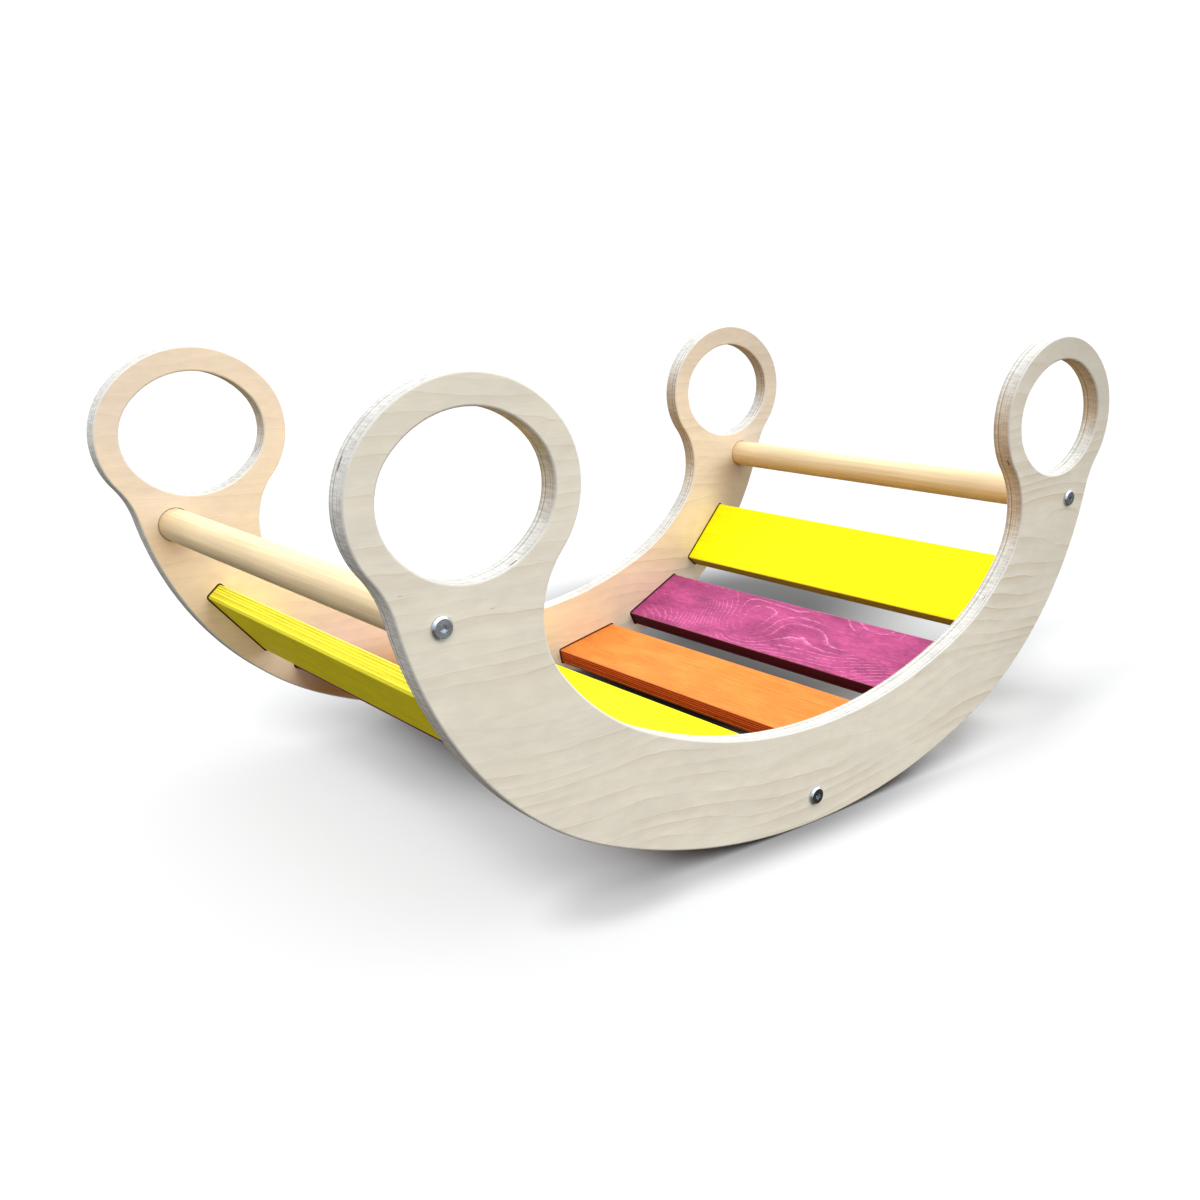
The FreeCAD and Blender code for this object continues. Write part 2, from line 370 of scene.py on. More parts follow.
edge_inputs = {"Depth": "Float", "Turn": "Float", "Place": "Vector"}
ply_edge, graph, given, found = start_group("ply_edge", edge_inputs, ["End", "Glue", "Gap", "Tone"])
layers = graph.times(given["Depth"], ply_count)
number = graph.maths("FLOOR", layers)
from_middle = graph.maths("ABSOLUTE", graph.maths("SUBTRACT", graph.maths("FRACT", layers), 0.5))
crosswise = graph.maths("MODULO", number, 2.0)
end_grain = graph.maths("ABSOLUTE", graph.maths("SUBTRACT", crosswise, given["Turn"]))
speckle = graph.ease(graph.noise(given["Place"], speckle_size), *noise_range, *speckle_contrast)
graph.feed(found["End"], graph.times(end_grain, speckle))
graph.feed(found["Glue"], graph.ease(from_middle, *glue_rise))
stagger = graph.times(number, gap_stagger)
shifted = graph.vectors("ADD", given["Place"], graph.together(stagger, stagger, 0.0))
gap_spots = graph.ease(graph.noise(shifted, gap_size, 1.0), *gap_rise)
inner_ply = graph.times(crosswise, graph.ease(from_middle, *inner_part))
graph.feed(found["Gap"], graph.times(gap_spots, inner_ply))
own_tone = graph.add("ShaderNodeTexWhiteNoise", {"W": number}, noise_dimensions="1D").outputs["Value"]
graph.feed(found["Tone"], graph.ease(own_tone, 0.0, 1.0, *ply_tones))
print("ply edge:", ply_count, "plies,", len(ply_edge.nodes), "nodes")


def plies_on(graph, depth, turn, place):
    """Adds the plies to a finish; gives their end grain, glue lines, gaps and tones."""
    inputs = {"Depth": depth, "Turn": turn, "Place": place}
    return graph.add("ShaderNodeGroup", inputs, node_tree=ply_edge).outputs


# %% [markdown]
# ## How a slat lies
# The slats lean with the curve of the seat, and the frame has their solids. A slat's largest
# face looks along its thickness, so the direction of that face gives the lean, and the
# corners turned back by the lean give the size. The slats, their pockets and one tone of the
# birch all need this.

# %% Lie of a slat
def lie_of(node):
    """Middle, lean and size of a slat, from its solid."""
    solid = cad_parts[node].data
    up = max(solid.polygons, key=lambda side: side.area).normal
    if up.z < 0:
        up = -up
    lean = math.atan2(up.x, up.z)
    low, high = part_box(node)
    middle = (low + high) / 2
    unturn = Euler((0, -lean, 0)).to_matrix()
    flat = [unturn @ (vertex.co - middle) for vertex in solid.vertices]
    size = Vector([2 * max(abs(corner[axis]) for corner in flat) for axis in range(3)])
    return middle, lean, size


slat_size = lie_of("centre_slat")[2]
print("slats of", [round(part, 4) for part in slat_size])

# %% [markdown]
# ## Birch plywood of the two sides
# The sides are birch plywood 18 mm thick under a clear satin oil. We make the face first, with
# its grain along the length. Towards the right end a painted shade darkens it a little, most at
# the height of the rings, and its growth lines are clearer there. The inner faces are redder than
# the outer ones, partly as painted warm light from the stained slats. They also carry painted
# shade, brown low at the left and darker below the right rail, and painted light below the left
# end slat.

# %% Sizes and colours of the face
panel_low, panel_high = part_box("rear_side_panel")
inner_face = panel_low.y
outer_face = panel_high.y
panel_thickness = outer_face - inner_face
birch_outside = (0.75, 0.703, 0.594)
# The inner faces are redder, partly as painted warm light from the stained slats.
birch_inside = (0.78, 0.668, 0.535)
birch_line = (0.50, 0.40, 0.27)
birch_fleck = (0.36, 0.23, 0.12)
# Painted light below the left end slat, and painted shade low at the left and below the right rail.
painted_light_tint = (1.24, 1.14, 0.98)
painted_inner_shading = {
    "low left": {
        "tint": (0.65, 0.43, 0.20),
        "fades": (("X", -0.30, -0.24), ("X", -0.05, -0.15), ("Z", 0.11, 0.05)),
    },
    "below right rail": {
        "tint": (0.64, 0.58, 0.51),
        "fades": (("X", 0.31, 0.37), ("Z", 0.255, 0.235), ("Z", 0.11, 0.16)),
    },
}
birch_spacing = 0.014
birch_wander = 6.5
blotch_size = (0.018, 0.008, 0.01)
fleck_size = (0.014, 0.0022, 0.004)
fleck_rise = (0.79, 0.83)
fleck_share = 0.55
cloud_contrast = (0.965, 1.035)
fine_contrast = (0.975, 1.025)
fibre_range = (0.25, 0.75)
right_end = (0.1, 0.45)
ring_rise = (0.25, 0.42)
# Painted shade towards the right end: a base share, and an extra share at the height of the rings.
right_shade_low = (0.0, 0.13)
right_shade_high = (0.25, 0.18)
line_share = (0.3, 0.45)
line_rise = (0.22, 0.34)
line_share_above = 0.65
line_right = (0.1, 0.35)
line_share_right = 2.1
below_left_slat = (0.05, -0.015)
print("birch board", round(panel_thickness * 1000, 1), "mm thick")

# %% Birch face
birch, graph, shader = start_material("birch_plywood_oiled")
place = graph.place()
parts = graph.apart(place)
x, y, z = parts
facing = graph.facing()
outward = graph.maths("GREATER_THAN", graph.times(facing["Y"], y), 0.0)
inward = graph.maths("SUBTRACT", 1.0, outward)
on_face = graph.together(x, z, y)
line, fibre, cloud = figure_on(graph, on_face, birch_spacing, birch_wander)

# Painted shade: the face darkens towards the right end, most at the height of the rings.
low_part = graph.ease(outward, 0.0, 1.0, *right_shade_low)
high_part = graph.ease(outward, 0.0, 1.0, *right_shade_high)
right_end_shade = graph.maths("MULTIPLY_ADD", graph.ease(z, *ring_rise), high_part, low_part)
right_end_shade = graph.times(graph.ease(x, *right_end), right_end_shade)
face = graph.blend(outward, birch_inside, birch_outside)
face = graph.shade(face, graph.maths("SUBTRACT", 1.0, right_end_shade))
face = graph.shade(face, graph.ease(cloud, *noise_range, *cloud_contrast))

# Painted shade and painted light, laid on the inner faces only.
tones = []
for tone in painted_inner_shading.values():
    shares = [graph.ease(parts[axis], low, high) for axis, low, high in tone["fades"]]
    share = graph.times(graph.times(shares[0], shares[1]), shares[2])
    tones.append((share, tone["tint"]))
left_middle, left_lean, _ = lie_of("left_end_slat")
beside_slat = graph.times(graph.maths("SUBTRACT", x, left_middle.x), math.sin(left_lean))
above_slat = graph.maths("SUBTRACT", z, left_middle.z)
above_slat = graph.maths("MULTIPLY_ADD", above_slat, math.cos(left_lean), beside_slat)
tones.append((graph.ease(above_slat, *below_left_slat), painted_light_tint))
for share, tint in tones:
    face = graph.blend(graph.times(share, inward), face, graph.tint(face, tint))

blotches = graph.noise(on_face, blotch_size, 3.0)
face = graph.shade(face, graph.ease(blotches, *noise_range, *fine_contrast))
face = graph.shade(face, graph.ease(fibre, *fibre_range, *fine_contrast))
drawn = graph.ease(outward, 0.0, 1.0, *line_share)
drawn = graph.times(drawn, graph.ease(z, *line_rise, 1.0, line_share_above))
drawn = graph.times(drawn, graph.ease(x, *line_right, 1.0, line_share_right))
face = graph.blend(graph.times(line, drawn), face, birch_line)
flecks = graph.ease(graph.noise(on_face, fleck_size, 1.0), *fleck_rise)
face = graph.blend(graph.times(flecks, fleck_share), face, birch_fleck)
print("birch face:", len(graph.tree.nodes), "nodes,", len(tones), "tones")

# %% [markdown]
# ## Edge of the sides
# The depth in the board counts the plies, and the edge's own direction says which of them
# show end grain. The saw has left a fine hatching across the edge. Towards the right end and
# inside the ring holes, edges that do not look up get a brown painted shade.

# %% Birch edge
ring_spacing = 0.714
ring_height = 0.338
ring_hole_reach = 0.078
birch_long_edge = (0.66, 0.66, 0.635)
birch_end_edge = (0.46, 0.445, 0.40)
painted_edge_shade = (0.80, 0.66, 0.52)
birch_glue = (0.22, 0.18, 0.14)
birch_gap = (0.05, 0.03, 0.018)
edge_cloud_size = (0.05, 0.05, 0.05)
edge_cloud_contrast = (0.92, 1.08)
hatch_size = (0.0018, 0.012, 0.0018)
hatch_contrast = (0.86, 1.14)
glue_turn = (-0.9, 0.0)
glue_share = (0.18, 0.48)
glue_upward = (0.2, 0.8)
glue_share_above = 0.6
# Painted brown shade on edges that do not look up, towards the right end and in the ring holes.
edge_shade_right = (-0.2, 0.35)
edge_shade_downward = (0.7, -0.1)
hole_shade = 0.7

depth = graph.maths("SUBTRACT", graph.maths("ABSOLUTE", y), inner_face)
depth = graph.maths("DIVIDE", depth, panel_thickness)
upright = graph.maths("POWER", facing["X"], 2.0)
level = graph.maths("POWER", facing["Z"], 2.0)
either = graph.maths("MAXIMUM", graph.maths("ADD", upright, level), 0.001)
turn = graph.maths("DIVIDE", upright, either)
end_grain, glue, gap, tone = plies_on(graph, depth, turn, place)
edge = graph.shade(graph.blend(end_grain, birch_long_edge, birch_end_edge), tone)
# The glue lines fade on edges that look left; on edges that look up they fade further as painted light.
glue = graph.times(glue, graph.ease(facing["X"], *glue_turn, *glue_share))
glue = graph.times(glue, graph.ease(facing["Z"], *glue_upward, 1.0, glue_share_above))
edge = graph.blend(glue, edge, birch_glue)
for size, contrast in ((edge_cloud_size, edge_cloud_contrast), (hatch_size, hatch_contrast)):
    edge = graph.shade(edge, graph.ease(graph.noise(place, size), *noise_range, *contrast))
from_ring = graph.maths("SUBTRACT", graph.maths("ABSOLUTE", x), ring_spacing / 2)
from_ring = graph.together(from_ring, 0.0, graph.maths("SUBTRACT", z, ring_height))
in_hole = graph.maths("LESS_THAN", graph.length(from_ring), ring_hole_reach)
# Painted shade: brown in the ring holes and towards the right end, fading on edges that look up.
edge_shade_share = graph.maths("MAXIMUM", graph.times(in_hole, hole_shade), graph.ease(x, *edge_shade_right))
edge_shade_share = graph.times(edge_shade_share, graph.ease(facing["Z"], *edge_shade_downward))
edge = graph.blend(edge_shade_share, edge, graph.tint(edge, painted_edge_shade))
edge = graph.blend(gap, edge, birch_gap)
print("birch edge:", len(graph.tree.nodes), "nodes so far")

# %% [markdown]
# ## Face and edge together
# We tell the face from the edge by the surface's own direction, so the rounded rim slides
# from one into the other. The rim gets a pale painted highlight, and edges that look up get a
# little painted shade. Fibres and growth lines also go into the roughness and into a fine relief.

# %% Birch surface
# Painted highlight on the rounded rim, and painted shade on edges that look up.
painted_rim_highlight = (0.86, 0.855, 0.83)
birch_gloss = 0.35
flat_face = (0.86, 0.99)
rim_range = (0.1, 0.6)
rim_highlight_share = 0.5
top_edge = (0.1, 0.9)
top_edge_painted_shade = 0.84
satin_range = (0.2, 0.8)
satin_roughness = (0.42, 0.56)
end_grain_roughness = 0.08
line_relief = 0.5
gap_relief = 3.0
grain_strength = 0.25
grain_depth = 0.0002

flatness = graph.ease(graph.maths("ABSOLUTE", facing["Y"]), *flat_face)
rim_highlight = graph.times(graph.ease(graph.maths("ABSOLUTE", facing["Y"]), *rim_range), rim_highlight_share)
# Painted highlight on the rim, then painted shade on edges that look up.
edge = graph.blend(rim_highlight, edge, painted_rim_highlight)
edge = graph.shade(edge, graph.ease(facing["Z"], *top_edge, 1.0, top_edge_painted_shade))
surface = graph.blend(flatness, edge, face)
roughness = graph.ease(fibre, *satin_range, *satin_roughness)
roughness = graph.maths("ADD", roughness, graph.times(end_grain, end_grain_roughness))
relief = graph.maths("MULTIPLY_ADD", line, line_relief, fibre)
relief = graph.maths("SUBTRACT", relief, graph.times(gap, gap_relief))
dress(graph, shader, surface, roughness, relief, grain_strength, grain_depth)
shader.inputs["Specular IOR Level"].default_value = birch_gloss
print("birch:", len(graph.tree.nodes), "nodes")

# %% [markdown]
# ## Stained slats
# The slats are the same plywood, stained in three colours that let the figure show. The
# yellow and orange wood is calm, and the purple has a livelier figure of pale, broken loops.
# A stain is thin on rounded edges, which are rubbed, and the rounded edges that look right get
# a painted highlight as well. The finish needs to know where it is on its board, so it reads an
# attribute that each slat keeps: across, along and through.

# %% Colours of the stains
stains = {
    # Each stain's under tint is painted shade for edges that look down; only the yellow uses it.
    "yellow_stain": {
        "face": (0.95, 0.84, 0.003), "lines": (0.90, 0.72, 0.003), "blotchy": 0.04,
        "side": (1.0, 0.95, 0.07), "end": (0.76, 0.64, 0.02), "under": (0.42, 0.30, 0.3),
        "faintest ply": 0.88, "figure scale": (1, 1, 1), "spacing": 0.012, "wander": 6.0,
        "strength": 0.3, "drawn": (0.0, 1.0),
    },
    "orange_stain": {
        "face": (0.67, 0.212, 0.041), "lines": (0.58, 0.15, 0.022), "blotchy": 0.09,
        "side": (0.68, 0.12, 0.018), "end": (0.24, 0.028, 0.006), "under": (1, 1, 1),
        "faintest ply": 0.72, "figure scale": (1, 1, 1), "spacing": 0.014, "wander": 7.0,
        "strength": 0.3, "drawn": (0.0, 1.0),
    },
    "purple_stain": {
        "face": (0.365, 0.062, 0.185), "lines": (0.86, 0.38, 0.64), "blotchy": 0.20,
        "side": (0.12, 0.010, 0.018), "end": (0.026, 0.002, 0.005), "under": (1, 1, 1),
        "faintest ply": 0.72, "figure scale": (1.2, 0.6, 0.6), "spacing": 0.0048, "wander": 60.0,
        "strength": 0.55, "drawn": (0.34, 0.74),
    },
}
print("stains:", ", ".join(stains))

# %% Stained face
stain_cloud_size = (0.045, 0.022, 0.02)
stain_break = (0.36, 0.6)
stain_faintest_line = 0.15


def stained_face(graph, stain, place, line, fibre, streaks):
    """The face of a stained board: clouds, fibres, streaks, and broken growth lines."""
    uneven = (1 - stain["blotchy"], 1 + stain["blotchy"])
    cloud = graph.noise(place, stain_cloud_size, 4.0)
    top = graph.shade(stain["face"], graph.ease(cloud, *noise_range, *uneven))
    top = graph.shade(top, graph.ease(fibre, *fibre_range, *uneven))
    top = graph.shade(top, streaks)
    broken = graph.ease(fibre, *stain_break, stain_faintest_line, 1.0)
    drawn = graph.times(graph.ease(line, *stain["drawn"], 0.0, stain["strength"]), broken)
    return graph.blend(drawn, top, stain["lines"])


# %% [markdown]
# ## Stained edges
# A stain sinks deep into end grain, so the crosswise plies of a long edge turn dark, and the
# glue lines between them darker still. Where an edge looks down, a brown painted shade falls
# on the yellow.

# %% Stained edge
stain_gap = (0.02, 0.012, 0.01)
stain_glue_tone = 0.5
stain_glue_share = 0.7
stain_downward = (-0.2, -0.6)


def stained_edge(graph, stain, board, through, facing, streaks):
    """The long edge of a stained board, with its plies."""
    depth = graph.maths("ADD", graph.maths("DIVIDE", through, slat_size.z), 0.5)
    end_grain, glue, gap, tone = plies_on(graph, depth, 0.0, board)
    edge = graph.blend(end_grain, stain["side"], stain["end"])
    dark_glue = tuple(stain_glue_tone * part for part in stain["end"])
    edge = graph.blend(graph.times(glue, stain_glue_share), edge, dark_glue)
    edge = graph.shade(edge, graph.maths("MAXIMUM", tone, stain["faintest ply"]))
    edge = graph.blend(gap, graph.shade(edge, streaks), stain_gap)
    # Painted shade: edges that look down take the stain's under tint.
    looks_down = graph.ease(facing["Z"], *stain_downward)
    return graph.blend(looks_down, edge, graph.tint(edge, stain["under"]))


# %% [markdown]
# ## The stains as finishes
# Face and edge meet where the board's two distances to its sides are equal. A dark line of
# painted shade lies where a slat goes into the side, and the rounded edges show some bare wood,
# more of it on those that look right, as a painted highlight.

# %% Stains
slat_edge_round = 0.0022
fully_round = 0.3 * slat_edge_round
stain_fibre_size = (0.007, 0.0012, 0.0012)
streak_size = (0.06, 0.0010, 0.0010)
streak_contrast = (0.84, 1.12)
edge_start = (-0.0001, 0.0004)
# Painted shade: a dark line on the slat where it goes into the side.
joint_line = (0.0016, 0.0006)
joint_shade = 0.1
bare_wood_and_highlight = (0.95, 0.88, 0.75)
rub_size = (0.004, 0.03, 0.004)
rub_contrast = (0.5, 1.0)
highlight_facing = (-0.1, 0.4)
rub_and_highlight_share = (0.1, 0.8)
worn_and_highlight_mix = 0.5
stain_gloss = 0.06


def stain_finish(name, stain):
    """A material for a stained plywood board."""
    material, graph, shader = start_material(name)
    board = graph.add("ShaderNodeAttribute", attribute_name="board").outputs["Vector"]
    across, along, through = graph.apart(board)
    place = graph.together(along, across, through)
    scaled = graph.vectors("MULTIPLY", place, stain["figure scale"])
    line = figure_on(graph, scaled, stain["spacing"], stain["wander"])["Line"]
    fibre = graph.noise(place, stain_fibre_size, 3.0)
    streaks = graph.ease(graph.noise(place, streak_size), *noise_range, *streak_contrast)
    facing = graph.facing()
    top = stained_face(graph, stain, place, line, fibre, streaks)
    edge = stained_edge(graph, stain, board, through, facing, streaks)

    from_side = graph.maths("SUBTRACT", slat_size.x / 2, graph.maths("ABSOLUTE", across))
    from_top = graph.maths("SUBTRACT", slat_size.z / 2, graph.maths("ABSOLUTE", through))
    on_edge = graph.ease(graph.maths("SUBTRACT", from_top, from_side), *edge_start)
    colour = graph.blend(on_edge, top, edge)
    from_middle = graph.maths("ABSOLUTE", graph.apart(graph.place())["Y"])
    # Painted shade in the joint: the slat darkens just before and inside the pocket.
    at_joint = graph.ease(from_middle, inner_face - joint_line[0], inner_face - joint_line[1])
    colour = graph.blend(at_joint, colour, tuple(joint_shade * part for part in stain["face"]))

    rounded = graph.times(
        graph.ease(from_side, slat_edge_round, fully_round),
        graph.ease(from_top, slat_edge_round, fully_round),
    )
    # Real wear from noise on all rounded edges, plus a painted highlight on those that look right.
    rubbed_and_lit = graph.ease(graph.noise(board, rub_size), *noise_range, *rub_contrast)
    rubbed_and_lit = graph.times(rubbed_and_lit, graph.ease(facing["X"], *highlight_facing, *rub_and_highlight_share))
    worn_and_highlight = graph.blend(worn_and_highlight_mix, stain["face"], bare_wood_and_highlight)
    colour = graph.blend(graph.times(rounded, rubbed_and_lit), colour, worn_and_highlight)
    roughness = graph.ease(fibre, *satin_range, *satin_roughness)
    relief = graph.maths("MULTIPLY_ADD", line, line_relief, fibre)
    dress(graph, shader, colour, roughness, relief, grain_strength, grain_depth)
    shader.inputs["Specular IOR Level"].default_value = stain_gloss
    print(name, len(graph.tree.nodes), "nodes")
    return material


stain_finishes = {name: stain_finish(name, stain) for name, stain in stains.items()}

# %% [markdown]
# ## Wood of the rails
# The rails are turned from solid beech and oiled like the sides. A round bar shows the
# layers of its wood as streaks along it, so the same figure is used, along Y. The right
# one is a little darker, and a painted shade makes its underside browner.

# %% Rail wood
rail_pale = (0.74, 0.585, 0.355)
rail_line = (0.58, 0.42, 0.22)
rail_painted_shade = (0.84, 0.74, 0.64)
rail_spacing = 0.0045
rail_wander = 2.5
rail_tilt = 0.7
rail_streak_size = (0.16, 0.003, 0.003)
rail_streak_contrast = (0.90, 1.08)
rail_cloud_contrast = (0.94, 1.06)
rail_line_share = 0.55
right_rail_tone = 0.93
rail_downward = (0.3, -0.6)
rail_roughness = (0.40, 0.54)
rail_gloss = 0.35
left_to_right = (-0.1, 0.1)

rail_wood, graph, shader = start_material("rail_beech_oiled")
x, y, z = graph.apart(graph.place())
along_rail = graph.together(y, graph.maths("MULTIPLY_ADD", z, rail_tilt, x), z)
line, fibre, cloud = figure_on(graph, along_rail, rail_spacing, rail_wander)
streaks = graph.noise(along_rail, rail_streak_size, 3.0)
colour = graph.shade(rail_pale, graph.ease(x, *left_to_right, 1.0, right_rail_tone))
colour = graph.shade(colour, graph.ease(cloud, *noise_range, *rail_cloud_contrast))
colour = graph.shade(colour, graph.ease(streaks, *fibre_range, *rail_streak_contrast))
colour = graph.blend(graph.times(line, rail_line_share), colour, rail_line)
# Painted shade on the right rail's underside.
right_rail_shade = graph.ease(x, *left_to_right)
right_rail_shade = graph.times(right_rail_shade, graph.ease(graph.facing()["Z"], *rail_downward))
colour = graph.blend(right_rail_shade, colour, graph.tint(colour, rail_painted_shade))
roughness = graph.ease(fibre, *satin_range, *rail_roughness)
dress(graph, shader, colour, roughness, fibre, grain_strength, grain_depth)
shader.inputs["Specular IOR Level"].default_value = rail_gloss
print("rail wood:", len(graph.tree.nodes), "nodes")

# %% [markdown]
# ## Zinc and steel
# The bolts are zinc-plated. Their heads were turned, so fine circles run round the axis, and
# the plating has faint grey clouds. The flat faces of the middle and right bolts are darker, a
# painted dark reflection. The bolts keep an attribute with the place about their own axis for
# those circles.
# The inserts sit inside the wood and are plain grey steel.

# %% Metals
metal_cloud_size = (0.003, 0.003, 0.003)
metal_cloud_contrast = (0.82, 1.12)
metal_cloud_relief = 0.6
rougher_cloud = 0.08
smoother_cloud = 0.06
metal_strength = 0.15
metal_depth = 0.00005
# Painted dark reflection on the flat faces of the bolts at the right.
dark_reflection_side = (-0.2, -0.05)
reflecting_face = (0.9, 0.99)


def metal(name, colour, roughness, attribute, circles, dark_reflection_tone):
    """A grey metal with faint clouds, circles round the axis Y, and a painted dark reflection on flat faces
    at the right.
    """
    material, graph, shader = start_material(name)
    own_place = graph.place()
    spot = own_place
    if attribute:
        spot = graph.add("ShaderNodeAttribute", attribute_name=attribute).outputs["Vector"]
    x, _, z = graph.apart(spot)
    radius = graph.length(graph.together(x, 0.0, z))
    turns = graph.times(radius, 2 * math.pi / circles)
    clouds = graph.noise(spot, metal_cloud_size, 4.0)
    # Painted dark reflection: flat faces towards the right are darkened.
    dark_reflection = graph.ease(graph.maths("ABSOLUTE", graph.facing()["Y"]), *reflecting_face)
    dark_reflection = graph.times(dark_reflection, graph.ease(graph.apart(own_place)["X"], *dark_reflection_side))
    colour = graph.shade(colour, graph.ease(clouds, *noise_range, *metal_cloud_contrast))
    colour = graph.shade(colour, graph.ease(dark_reflection, 0.0, 1.0, 1.0, dark_reflection_tone))
    spread = (roughness + rougher_cloud, roughness - smoother_cloud)
    roughness = graph.ease(clouds, *noise_range, *spread)
    ripple = graph.maths("MULTIPLY_ADD", clouds, metal_cloud_relief, graph.maths("SINE", turns))
    dress(graph, shader, colour, roughness, ripple, metal_strength, metal_depth)
    shader.inputs["Metallic"].default_value = 1.0
    print(name, len(graph.tree.nodes), "nodes")
    return material


zinc = metal(
    "zinc_plated", colour=(0.57, 0.64, 0.71), roughness=0.24,
    attribute="turning", circles=0.0005, dark_reflection_tone=0.3,
)
steel = metal(
    "grey_steel", colour=(0.42, 0.42, 0.43), roughness=0.45,
    attribute=None, circles=0.0008, dark_reflection_tone=0.9,
)

# %% [markdown]
# ## Ways to work in edit mode
# Every piece starts from a primitive and is shaped by the same operators that a modeller
# uses by hand. The operators act on what is selected, so the first helpers make one piece
# active, and select the faces or edges that a short test accepts. The others apply a
# modifier, cut, copy and smooth a piece, and hand it over when it is finished.

# %% Helpers that select
straight_on = 0.9
side_on = 0.1


def only(piece):
    """Makes one piece the only selected object."""
    bpy.ops.object.select_all(action="DESELECT")
    piece.select_set(True)
    bpy.context.view_layer.objects.active = piece


def choose(piece, kind, wanted):
    """Selects the edges or faces that the test accepts, in edit mode."""
    modes = {"edges": "EDGE", "faces": "FACE"}
    bpy.ops.mesh.select_mode(type=modes[kind])
    bpy.ops.mesh.select_all(action="DESELECT")
    mesh = bmesh.from_edit_mesh(piece.data)
    for element in getattr(mesh, kind):
        if wanted(element):
            element.select_set(True)
    mesh.select_flush_mode()
    bmesh.update_edit_mesh(piece.data)


# %% Helpers for a whole piece
smooth_angle = 40


def apply_modifier(piece, kind, **settings):
    """Adds a modifier, sets it up and applies it."""
    only(piece)
    bpy.ops.object.modifier_add(type=kind)
    modifier = piece.modifiers[-1]
    for name, value in settings.items():
        setattr(modifier, name, value)
    bpy.ops.object.modifier_apply(modifier=modifier.name)


def cut(piece, cutter):
    """Cuts one shape out of a piece and removes the cutter. The cut takes the last finish."""
    for material in piece.data.materials:
        cutter.data.materials.append(material)
    for face in cutter.data.polygons:
        face.material_index = max(0, len(piece.data.materials) - 1)
    apply_modifier(piece, "BOOLEAN", operation="DIFFERENCE", solver="EXACT", object=cutter)
    only(cutter)
    bpy.ops.object.delete()


def copy_of(piece):
    """A copy of a piece with a mesh of its own."""
    only(piece)
    bpy.ops.object.duplicate()
    return bpy.context.object


def place_in_mesh(piece):
    """Moves the object's place, turn and scale into its mesh."""
    only(piece)
    bpy.ops.object.transform_apply(location=True, rotation=True, scale=True)


def smooth(piece):
    """Smooth shading that breaks at sharp edges and keeps flat faces flat."""
    only(piece)
    bpy.ops.object.shade_smooth_by_angle(angle=math.radians(smooth_angle))
    apply_modifier(piece, "WEIGHTED_NORMAL", keep_sharp=True)


def hand_over(piece, name, node):
    """Names a finished piece and lets it stand for its solid."""
    piece.name = name
    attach(piece, "root")
    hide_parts(node)
    print(name, len(piece.data.polygons), "faces for", node)


# %% [markdown]
# ## Outline of a side
# A side is one board, cut on a router. Its outline is a chain of arcs that touch each other:
# the runner, its rising end, a neck, an oval ring, the throat below the ring, and the seat.
# It could be drawn by hand as a curve, but arcs keep to sizes that can be measured. We work
# out their centres from a few of them. Each lies where two distances meet, since circles
# touch when their centres are as far apart as the sum or difference of their radii.

# %% Sizes of the outline
ring_hole_height = 0.1165
ring_hole_extra_length = 0.024
ring_end_offset = 0.022
ring_rim = 0.0233
runner_flatness = 0.835
runner_radius = runner_flatness * ring_spacing
runner_side_radius = 0.315
runner_ring_cover = 0.070
neck_radius = 0.079
middle_depth = 0.093
seat_flatness = 0.689
seat_radius = seat_flatness * ring_spacing
seat_side_radius = 0.212
seat_ring_gap = 0.030
throat_radius = 0.072
panel_edge_round = 0.002
print("runner radius", round(runner_radius, 4), "seat radius", round(seat_radius, 4))


# %% Where circles touch
def spot(x, z):
    """A point on the rear board's inner face."""
    return Vector((x, inner_face, z))


def touch(centre, radius, other):
    """The point of a circle in the direction of another centre."""
    return centre + (other - centre).normalized() * radius


def lower_meeting(first, first_radius, second, second_radius):
    """The lower of the two points at the given distances from two points."""
    along = second - first
    distance = along.length
    reach = (first_radius**2 - second_radius**2 + distance**2) / (2 * distance)
    rise = math.sqrt(first_radius**2 - reach**2)
    along.normalize()
    middle = first + along * reach
    sideways = Vector((along.z, 0, -along.x)) * rise
    return min(middle + sideways, middle - sideways, key=lambda point: point.z)


# %% Centres of the arcs
ring = spot(ring_spacing / 2, ring_height)
hole_half_height = ring_hole_height / 2
hole_half_length = hole_half_height + ring_hole_extra_length / 2
flattening = ring_end_offset - ring_hole_extra_length / 2
flat_offset = (ring_end_offset**2 - flattening**2) / (2 * flattening)
outer_end = ring + Vector((ring_end_offset, 0, 0))
inner_end = ring - Vector((ring_end_offset, 0, 0))
below_ring = ring - Vector((0, 0, flat_offset))
above_ring = ring + Vector((0, 0, flat_offset))
hole_flat_radius = hole_half_height + flat_offset
end_radius = hole_half_length + ring_rim - ring_end_offset
top_radius = hole_flat_radius + ring_rim

runner = spot(0, runner_radius)
runner_side = lower_meeting(
    runner, runner_radius - runner_side_radius, ring, runner_side_radius - runner_ring_cover
)
neck = lower_meeting(
    outer_end, end_radius + neck_radius, runner_side, runner_side_radius + neck_radius
)
seat = spot(0, middle_depth + seat_radius)
seat_side = lower_meeting(
    seat, seat_radius - seat_side_radius, ring, seat_side_radius + seat_ring_gap
)
throat = lower_meeting(
    inner_end, end_radius + throat_radius, seat_side, seat_side_radius - throat_radius
)
print("neck at", [round(c, 4) for c in neck], "throat at", [round(c, 4) for c in throat])

